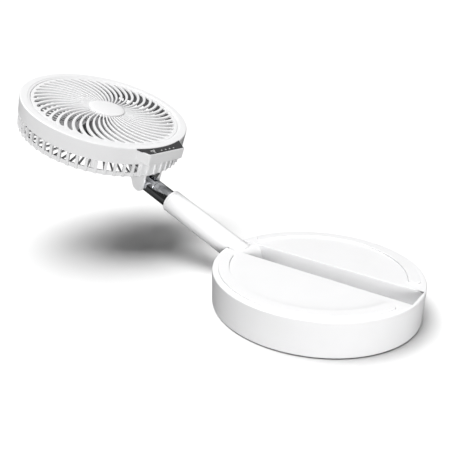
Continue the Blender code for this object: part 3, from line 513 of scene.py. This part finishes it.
def make_neck():
    """The round-nosed metal block that carries the head's hinge, with a slot in its top, and a dark sheet of
    painted shade in the slot.
    """
    neck = size("neck_block", POLE)
    radius = neck.high.y
    pin = size("head_hinge_pin", POLE)
    hinge_height = (pin.low.z + pin.high.z) / 2
    shoulder = size("inner_tube", POLE).high.z + FIT
    spigot = radius - 1.2 * MM
    nose = arc((0, hinge_height), radius, math.radians(88), 0, 24)
    profile = [(0, hinge_height + radius), *nose, (radius, shoulder), (spigot, shoulder)]
    profile += [(spigot, neck.low.z), (0, neck.low.z)]
    block_body = loose("neck_fine", turned(profile, ROUND), POLE)
    bore = (pin.high.z - pin.low.z) / 2 + FIT
    pin_hole = across(ring(0, bore, -radius - PAST, radius + PAST, steps=ROUND))
    combine(block_body, moved(pin_hole, z=hinge_height))
    slot_half, slot_floor = 3 * MM, 5 * MM
    low, high = shoulder + 2 * MM + slot_half, hinge_height - 4 * MM - slot_half
    outline = arc((high, 0), slot_half, -math.pi / 2, math.pi / 2, 12)
    outline += arc((low, 0), slot_half, math.pi / 2, 3 * math.pi / 2, 12)
    slot = extruded([(-x, y) for x, y in outline], slot_floor, radius + PAST)
    bmesh.ops.rotate(slot, verts=slot.verts, matrix=Matrix.Rotation(math.radians(90), 3, "Y"))
    combine(block_body, slot)
    soften(block_body, 0.25 * MM)
    dress(block_body, "inner_stage", "chrome", ("neck_block",))
    # A dark sheet lies in the slot: painted shade standing for the dark of the slot's hollow.
    inset = 0.15 * MM
    slot_shade_low = (slot_floor - 1 * MM, -slot_half + inset, low - slot_half + inset)
    slot_shade_high = (slot_floor + inset, slot_half - inset, high + slot_half - inset)
    piece("neck_slot_painted_shade", block(slot_shade_low, slot_shade_high, 0.3 * MM), POLE, "inner_stage", "dark")


# ---- head ----


def box_outline(back_radius, border, corner, back_angle, front_x, front_half):
    """The control box from above: an arc along the head, and a straight front with round corners."""
    back = back_angle - border / back_radius
    front_x, front_half = front_x - border, front_half - border * 0.8
    along = Vector(polar(back_radius, back)) - Vector((front_x, front_half))
    turn = math.atan2(along.y, along.x) - math.pi / 2
    centre = (front_x - corner, front_half - corner * math.tan(turn / 2))
    far = arc(centre, corner, 0, turn, 10)
    near = [(x, -y) for x, y in reversed(far)]
    return arc((0, 0), back_radius, back, -back, 40) + near + far


BOX_BACK_ANGLE = math.radians(21)  # half the angle that the control box takes on the band
BOX_FRONT_HALF = 27.7 * MM
BOX_DEPTH = 14 * MM


def make_band():
    """The white band with the control box on its side, and the dark panel let into the box."""
    band = size("front_band", HEAD, up_to=0)
    whole = size("front_band", HEAD)
    lens = size("control_lens", HEAD)
    lip, inner_lip = 1.3 * MM, 0.4 * MM
    outline = [(band.near, -inner_lip)]
    outline += arc((band.near + inner_lip, -inner_lip), inner_lip, math.pi, math.pi / 2, 4)
    outline += [*fillet((band.far, 0), lip, 0, 8)[::-1], (band.far, band.low.z), (band.near, band.low.z)]
    body = loose("front_band_fine", turned(outline), HEAD)
    soften(body, 0.25 * MM, 2)
    shape = (BOX_BACK_ANGLE, whole.high.x, BOX_FRONT_HALF)
    wall_middle = (band.near + band.far) / 2
    box = box_outline(wall_middle, 0, 3 * MM, *shape)
    combine(body, extruded(box, -BOX_DEPTH, lens.high.z, 0.7 * MM, both=True), "UNION")
    recess = box_outline(lens.near - FIT, 1 * MM, 2 * MM, *shape)
    combine(body, extruded(recess, lens.low.z - FIT, PAST))
    combine(body, panel_holes())
    # the band's inward faces take the painted shade
    dress(body, "head", "white", ("front_band",), inside=takes_painted_shade)
    plate = box_outline(lens.near, 1.3 * MM, 1.8 * MM, *shape)
    panel = loose("control_lens_fine", extruded(plate, lens.low.z, lens.high.z, 0.2 * MM), HEAD)
    combine(panel, panel_holes())
    dress(panel, "head", "panel", ("control_lens",))


def middle_of(node):
    """The middle and the radius of a round node of the head."""
    spot = size(node, HEAD)
    return (spot.low.x + spot.high.x) / 2, (spot.low.y + spot.high.y) / 2, (spot.high.x - spot.low.x) / 2


def panel_holes():
    """Cutters for the button and the indicators, through the panel and the top of its box."""
    holes = []
    for node in ("power_button", "indicator_1", "indicator_2", "indicator_3", "indicator_4"):
        x, y, radius = middle_of(node)
        holes.append(moved(ring(0, radius + FIT, -8 * MM, PAST, steps=ROUND), x, y))
    return joined(holes)


def make_button():
    """The power button, with a plain three-bladed fan sign on it."""
    button = size("power_button", HEAD)
    x, y, radius = middle_of("power_button")
    cap = ring(0, radius, button.low.z, button.high.z, 0.35 * MM, ROUND)
    piece("power_button_fine", moved(cap, x, y), HEAD, "button", "panel", ("power_button",))
    steps, count = 28, 3
    turns = [2 * math.pi * step / steps for step in range(steps)]
    petal = [
        (radius * (0.5 + 0.45 * math.cos(t)), radius * (0.3 * math.sin(t) + 0.2 * math.cos(t)))
        for t in turns
    ]
    low, high = button.high.z - 0.05 * MM, button.high.z + 0.06 * MM
    petals = [spun(extruded(petal, low, high), 2 * math.pi * i / count) for i in range(count)]
    # The sign takes the light-pipe finish: its faint glow is painted light, for the sign is no lamp.
    piece("fan_sign", moved(joined(petals), x, y), HEAD, "button", "light")


RIB_FOOT = 24.5 * MM  # where the ribs start to sweep
RIB_SWEEP = (22.1, 37.1)  # degrees per decimetre, and per decimetre squared, beyond the foot


def rib_bend(radius):
    """How far a grille rib has swept round by this radius."""
    reach = max(0.0, (radius - RIB_FOOT) / (100 * MM))
    return math.radians(RIB_SWEEP[0] * reach + RIB_SWEEP[1] * reach**2)


def make_grille():
    """A round plate cut by swept slots, whose ribs have round edges."""
    plate = size("front_grille", HEAD)
    cap = size("grille_cap", HEAD)
    ribs, rib_share = 45, 0.42
    edge = 0.42 * MM
    slot_near, slot_far = cap.far + 0.6 * MM, 84.6 * MM
    near_end, far_end = 1.2 * MM, 4.2 * MM
    pitch = 2 * math.pi / ribs
    curve = bpy.data.curves.new("grille_slots", "CURVE")
    curve.dimensions = "2D"
    curve.fill_mode = "BOTH"

    def add(points):
        spline = curve.splines.new("POLY")
        spline.points.add(len(points) - 1)
        for point, (x, y) in zip(spline.points, points):
            point.co = (x, y, 0, 1)
        spline.use_cyclic_u = True

    def half_width(radius):
        full = pitch * (1 - rib_share) / 2
        to_near, to_far = (radius - slot_near) / near_end, (slot_far - radius) / far_end
        for reach in (to_near, to_far):
            if reach < 1:
                full *= math.sqrt(max(0.0, 1 - (1 - reach) ** 2))
        return full

    steps = 40
    shares = [(1 - math.cos(math.pi * i / steps)) / 2 for i in range(steps + 1)]
    radii = [slot_near + (slot_far - slot_near) * share for share in shares]
    add(arc((0, 0), plate.far, 0, 2 * math.pi, FINE)[:-1])
    add(arc((0, 0), plate.near, 0, 2 * math.pi, ROUND)[:-1])
    for i in range(ribs):
        middle = pitch * (i + 0.5)
        ahead = [polar(r, middle + rib_bend(r) + half_width(r)) for r in radii]
        behind = [polar(r, middle + rib_bend(r) - half_width(r)) for r in radii[1:-1]]
        add(ahead + behind[::-1])
    thick = plate.high.z - plate.low.z
    curve.extrude = thick / 2 - edge
    curve.bevel_depth = edge
    curve.bevel_resolution = 3
    curve.offset = -edge
    guide = bpy.data.objects.new("guide", curve)
    bpy.context.scene.collection.objects.link(guide)
    bpy.context.view_layer.update()
    mesh = bpy.data.meshes.new_from_object(guide)
    bpy.data.objects.remove(guide)
    bm = bmesh.new()
    bm.from_mesh(mesh)
    bmesh.ops.remove_doubles(bm, verts=bm.verts, dist=1e-7)
    moved(bm, z=(plate.high.z + plate.low.z) / 2)
    piece("front_grille_fine", bm, HEAD, "head", "white", ("front_grille",))


def make_front():
    """The ring round the grille, and the slightly domed cap in its middle."""
    rim = size("front_ring", HEAD)
    edge, bead = 0.5 * MM, 2.2 * MM
    shape = fillet((rim.near, rim.high.z - 0.4 * MM), edge, 1, 5)[::-1]
    shape += [(rim.near + bead, rim.high.z)]
    shape += fillet((rim.far, rim.high.z - 0.1 * MM), edge, 0, 5)[::-1]
    shape += [(rim.far, rim.low.z), (rim.near, rim.low.z)]
    piece("front_ring_fine", turned(shape), HEAD, "head", "white", ("front_ring",))
    cap = size("grille_cap", HEAD)
    crown, fall, round_edge, flange, steps = cap.high.z, 0.7 * MM, 0.6 * MM, -0.7 * MM, 12
    dome = [(cap.far * step / steps, crown - fall * (step / steps) ** 3) for step in range(steps)]
    shape = [*dome, *arc((cap.far - round_edge, crown - 2 * fall), round_edge, math.pi / 2, 0, 5)]
    shape += [(cap.far, flange), (plate_bore(), flange), (plate_bore(), cap.low.z), (0, cap.low.z)]
    piece("grille_cap_fine", turned(shape, 96), HEAD, "head", "white", ("grille_cap",))


def plate_bore():
    return size("front_grille", HEAD).near - 0.6 * MM


def make_cage():
    """The cage behind the blades: slotted wall, foot ring, spokes, hub, screw posts and the yoke's saddle."""
    top = size("front_band", HEAD).low.z - 0.3 * MM
    floor = size("bearing_holder", HEAD).low.z - 0.25 * MM
    wall_near, wall_far, rib_far = 96.6 * MM, 98.2 * MM, 99.6 * MM
    foot_near, hub_far = 93 * MM, 24 * MM
    spoke_thick = 2.2 * MM
    slats, share, first = 60, 0.3, math.radians(5)
    solid_angle = math.radians(16)
    pitch = 2 * math.pi / slats
    slat, gap_cells = pitch * share, 3
    edges = []
    for i in range(slats):
        start = first + pitch * i - slat / 2
        edges += [start, start + slat / 2]
        edges += [start + slat + (pitch - slat) * j / gap_cells for j in range(gap_cells)]
    cells = 2 + gap_cells
    heights = (floor, floor + spoke_thick, floor + 5.2 * MM, top - 1.7 * MM, top)

    def filled(i, j, k):
        on_slat = i % cells < 2
        angle = (edges[i] + math.pi) % (2 * math.pi) - math.pi
        shut = abs(angle) < solid_angle
        foot = j == 0 and k == 0
        wall = j == 1 and (k in (0, 1, 3) or on_slat or shut)
        rib = j == 2 and k < 3 and on_slat
        return foot or wall or rib

    wall = loose("wall", lattice(edges, (foot_near, wall_near, wall_far, rib_far), heights, filled))
    soften(wall, 0.22 * MM, 2)
    shapes = [taken(wall)]
    spoke_half = 1.1 * MM
    spoke_low = (hub_far - 1 * MM, -spoke_half, floor + 0.05 * MM)
    spoke_high = (foot_near + 1 * MM, spoke_half, floor + spoke_thick)
    for i in range(slats):
        shapes.append(spun(block(spoke_low, spoke_high, 0.5 * MM), first + pitch * i))
    hub_near, bead_width = 6.2 * MM, 1 * MM
    shapes.append(ring(hub_near, hub_far, floor, floor + spoke_thick, 0.5 * MM, 96))
    bead_low, bead_high = floor + 1 * MM, floor + spoke_thick + 0.5 * MM
    for radius in (12 * MM, 18 * MM):
        shapes.append(ring(radius, radius + bead_width, bead_low, bead_high, 0.3 * MM, 96))
    post_near, post_far = 2.6 * MM, 3.2 * MM
    for i in range(4):
        screw = size(f"head_screw_{i + 1}", HEAD)
        x, y = (screw.low.x + screw.high.x) / 2, (screw.low.y + screw.high.y) / 2
        shapes.append(moved(ring(post_near, post_far, floor + 0.1 * MM, top, 0.15 * MM, 32), x, y))
    yoke = size("hinge_yoke", HEAD)
    saddle_low, saddle_high = floor + 0.1 * MM, floor + spoke_thick + 0.8 * MM
    saddle = block((yoke.low.x, yoke.low.y, saddle_low), (yoke.high.x, yoke.high.y, saddle_high), 0.5 * MM)
    shapes.append(saddle)
    # the cage's inward and upward faces take the painted shade
    piece("rear_cage_fine", joined(shapes), HEAD, "head", "white", ("rear_cage",), inside=takes_painted_shade)


def taken(obj):
    """The shape of a helper object, which is then removed."""
    bm = bmesh.new()
    bm.from_mesh(obj.data)
    bpy.data.objects.remove(obj)
    return bm


def make_yoke():
    """The plate under the cage with the two hinge ears, whose flanks widen upwards."""
    yoke = size("hinge_yoke", HEAD)
    hinge = HEAD.inverted() @ HEAD_HINGE
    pin = size("head_hinge_pin").high.y
    near, far, top = yoke.low.x, yoke.high.x, yoke.high.z + 0.2 * MM
    radius = hinge.z - yoke.low.z
    plate_foot = yoke.high.z - 1.8 * MM
    outline = arc((hinge.x, hinge.z), radius, math.radians(200), math.radians(345), 28)
    outline += [(far, plate_foot), (far, top), (near, top), (near + 1 * MM, plate_foot - 1 * MM)]
    ear_thick, inset = 3.25 * MM, 0.1 * MM
    plate_low = (near + inset, yoke.low.y + inset, plate_foot)
    body = loose("hinge_yoke_fine", block(plate_low, (far - inset, yoke.high.y - inset, top - inset)), HEAD)
    for side in (-1, 1):
        faces = sorted((side * yoke.high.y, side * (yoke.high.y - ear_thick)))
        shape = extruded(outline, *faces)
        bmesh.ops.rotate(shape, verts=shape.verts, matrix=Matrix.Rotation(math.radians(90), 3, "X"))
        combine(body, shape, "UNION")
    blind = pin + FIT
    combine(body, moved(across(ring(0, 2.8 * MM, -blind, blind, steps=48)), hinge.x, 0, hinge.z))
    soften(body, 0.6 * MM)
    dress(body, "head", "white", ("hinge_yoke",))


# ---- rotor ----


BLADES = 5
BLADE_FIRST = math.radians(-33)
BLADE_ROOT = 17.4 * MM
BLADE_HIGH, BLADE_LOW = -11.5 * MM, -27.5 * MM
BLADE_THICK, BLADE_CAMBER = 1.4 * MM, 1.6 * MM
BLADE_CHORD, BLADE_TAPER, BLADE_SWEEP = 50, 4, 22  # degrees about the axis
BLADE_UNTWIST = 0.25  # share of its slope that a blade loses on the way to its tip
TIP_START, TIP_TRIM = 0.8, 0.25  # where a blade's tip starts to narrow, and by what share


def blade(start, root, tip):
    """One swept blade from an angle on, thickest in its middle and thin at its edges."""
    bm = bmesh.new()
    radial, chordwise = 36, 16
    rise, middle = BLADE_HIGH - BLADE_LOW, (BLADE_HIGH + BLADE_LOW) / 2
    layers = []
    for side in (0.5, -0.5):
        grid = []
        for i in range(radial + 1):
            u = i / radial
            radius = root + (tip - root) * u
            width = math.radians(BLADE_CHORD - BLADE_TAPER * u)
            lead = start + math.radians(BLADE_SWEEP) * u**1.5
            near_tip = max(0.0, (u - TIP_START) / (1 - TIP_START))
            trim = 1 - TIP_TRIM * near_tip**2
            row = []
            for j in range(chordwise + 1):
                v = (j / chordwise - 0.5) * trim
                height = middle + rise * v * (1 - BLADE_UNTWIST * u)
                height += BLADE_CAMBER * (1 - 4 * v * v)
                body = BLADE_THICK * (1 - 0.7 * (2 * abs(j / chordwise - 0.5)) ** 3)
                row.append(bm.verts.new((*polar(radius, lead + width * v), height + side * body)))
            grid.append(row)
        layers.append(grid)
    top, bottom = layers
    for i in range(radial):
        for j in range(chordwise):
            for grid in layers:
                bm.faces.new((grid[i][j], grid[i + 1][j], grid[i + 1][j + 1], grid[i][j + 1]))
    for i in range(radial):
        for j in (0, chordwise):
            bm.faces.new((top[i][j], top[i + 1][j], bottom[i + 1][j], bottom[i][j]))
    for j in range(chordwise):
        for i in (0, radial):
            bm.faces.new((top[i][j], top[i][j + 1], bottom[i][j + 1], bottom[i][j]))
    bmesh.ops.recalc_face_normals(bm, faces=bm.faces)
    return bm


def make_rotor():
    """The hub and the five swept blades."""
    rotor = size("fan_blade", HEAD)
    bore, hub_near, hub_far = 1.8 * MM, 16.1 * MM, 18.3 * MM
    high, low = rotor.high.z, rotor.low.z
    ceiling = high - 2.2 * MM
    hub = [(bore, high), *fillet((hub_far, high), 2 * MM, 0, 8)[::-1], (hub_far, low), (hub_near, low)]
    hub += [(hub_near, ceiling), (bore, ceiling)]
    shapes = [turned(hub, 96)]
    shapes += [blade(BLADE_FIRST + 2 * math.pi * i / BLADES, BLADE_ROOT, rotor.far) for i in range(BLADES)]
    # the blades take the mid grey blade finish, which is painted shade
    piece("fan_blade_fine", joined(shapes), HEAD, "rotor", "blade", ("fan_blade",), smooth_below=60)


# ---- floor, light and camera ----


def make_floor():
    """A pale floor that gives the fan less light than the eye sees, as a table in a dark studio does."""
    reach, thick = 60, 0.02
    floor = loose("floor", block((-reach, -reach, -thick), (reach, reach, 0)))
    ground = bpy.data.materials.new("studio_floor")
    ground.use_nodes = True
    nodes, links = ground.node_tree.nodes, ground.node_tree.links
    nodes.remove(nodes["Principled BSDF"])
    path = nodes.new("ShaderNodeLightPath")
    seen, lit, mirrored = (nodes.new("ShaderNodeBsdfDiffuse") for _ in range(3))
    for shader, pale in ((seen, 1.0), (lit, 0.4), (mirrored, 0.08)):
        shader.inputs["Color"].default_value = (pale, pale, pale, 1)
    for_gloss, for_eye = nodes.new("ShaderNodeMixShader"), nodes.new("ShaderNodeMixShader")
    links.new(path.outputs["Is Glossy Ray"], for_gloss.inputs["Fac"])
    links.new(lit.outputs["BSDF"], for_gloss.inputs[1])
    links.new(mirrored.outputs["BSDF"], for_gloss.inputs[2])
    links.new(path.outputs["Is Camera Ray"], for_eye.inputs["Fac"])
    links.new(for_gloss.outputs["Shader"], for_eye.inputs[1])
    links.new(seen.outputs["BSDF"], for_eye.inputs[2])
    links.new(for_eye.outputs["Shader"], nodes["Material Output"].inputs["Surface"])
    floor.data.materials.append(ground)


def sun(name, azimuth, elevation, angle, strength, leave_out=()):
    """A broad far light from an azimuth and an elevation, in degrees, that can leave some objects out."""
    data = bpy.data.lights.new(name, "SUN")
    data.angle = math.radians(angle)
    data.energy = strength
    obj = bpy.data.objects.new(name, data)
    bpy.context.scene.collection.objects.link(obj)
    flat = math.cos(math.radians(elevation))
    source = Vector((*polar(flat, math.radians(azimuth)), math.sin(math.radians(elevation))))
    obj.rotation_euler = source.to_track_quat("Z", "Y").to_euler()
    if leave_out:
        kept_dark = bpy.data.collections.new(f"{name}_leaves_out")
        for other in leave_out:
            kept_dark.objects.link(other)
        obj.light_linking.receiver_collection = kept_dark
        for entry in kept_dark.collection_objects:
            entry.light_linking.link_state = "EXCLUDE"


def make_light():
    """A large soft light overhead, fills on the fan alone, and a white studio round them."""
    floor = bpy.data.objects["floor"]
    head = [obj for body in ("head", "rotor", "button") for obj in ON_BODY[body]]
    stand = [obj for body in ("base", "pole") for obj in ON_BODY[body]]
    sun("overhead", 192, 73, 48, 3.3)
    sun("broad", 150, 55, 70, 0.25)
    sun("front_fill", -42, 7, 30, 3.55, [floor, *head])
    sun("head_fill", -50, 6, 30, 2.9, [floor, *stand])
    world = bpy.data.worlds.new("studio")
    world.use_nodes = True
    bpy.context.scene.world = world
    nodes, links = world.node_tree.nodes, world.node_tree.links
    ambient = nodes["Background"]
    ambient.inputs["Color"].default_value = (1, 1, 1, 1)
    ambient.inputs["Strength"].default_value = 0.03
    backdrop = nodes.new("ShaderNodeBackground")
    backdrop.inputs["Color"].default_value = (1, 1, 1, 1)
    backdrop.inputs["Strength"].default_value = 1.1
    path = nodes.new("ShaderNodeLightPath")
    mix = nodes.new("ShaderNodeMixShader")
    links.new(path.outputs["Is Camera Ray"], mix.inputs["Fac"])
    links.new(ambient.outputs["Background"], mix.inputs[1])
    links.new(backdrop.outputs["Background"], mix.inputs[2])
    links.new(mix.outputs["Shader"], nodes["World Output"].inputs["Surface"])
    bpy.context.scene.view_settings.view_transform = "Standard"


def make_camera():
    """The photograph's view: low over the base's near side, with the fan head at the far left."""
    yaw, pitch, roll = math.radians(128.14), math.radians(-19.81), math.radians(0.48)
    ahead = Vector((math.cos(pitch) * math.cos(yaw), math.cos(pitch) * math.sin(yaw), math.sin(pitch)))
    right = ahead.cross(Vector((0, 0, 1))).normalized()
    up = right.cross(ahead)
    level = Matrix((right, up, -ahead)).transposed()
    data = bpy.data.cameras.new("camera")
    data.lens = 39.93
    data.sensor_width = 36
    camera = bpy.data.objects.new("camera", data)
    bpy.context.scene.collection.objects.link(camera)
    camera.matrix_world = (level @ Matrix.Rotation(roll, 3, "Z")).to_4x4()
    camera.location = (0.2019, -0.4, 0.2357)
    bpy.context.scene.camera = camera


make_camera()
make_floor()
finish_kept_nodes()
make_base()
make_pole()
make_neck()
make_band()
make_button()
make_grille()
make_front()
make_cage()
make_yoke()
make_rotor()
make_light()
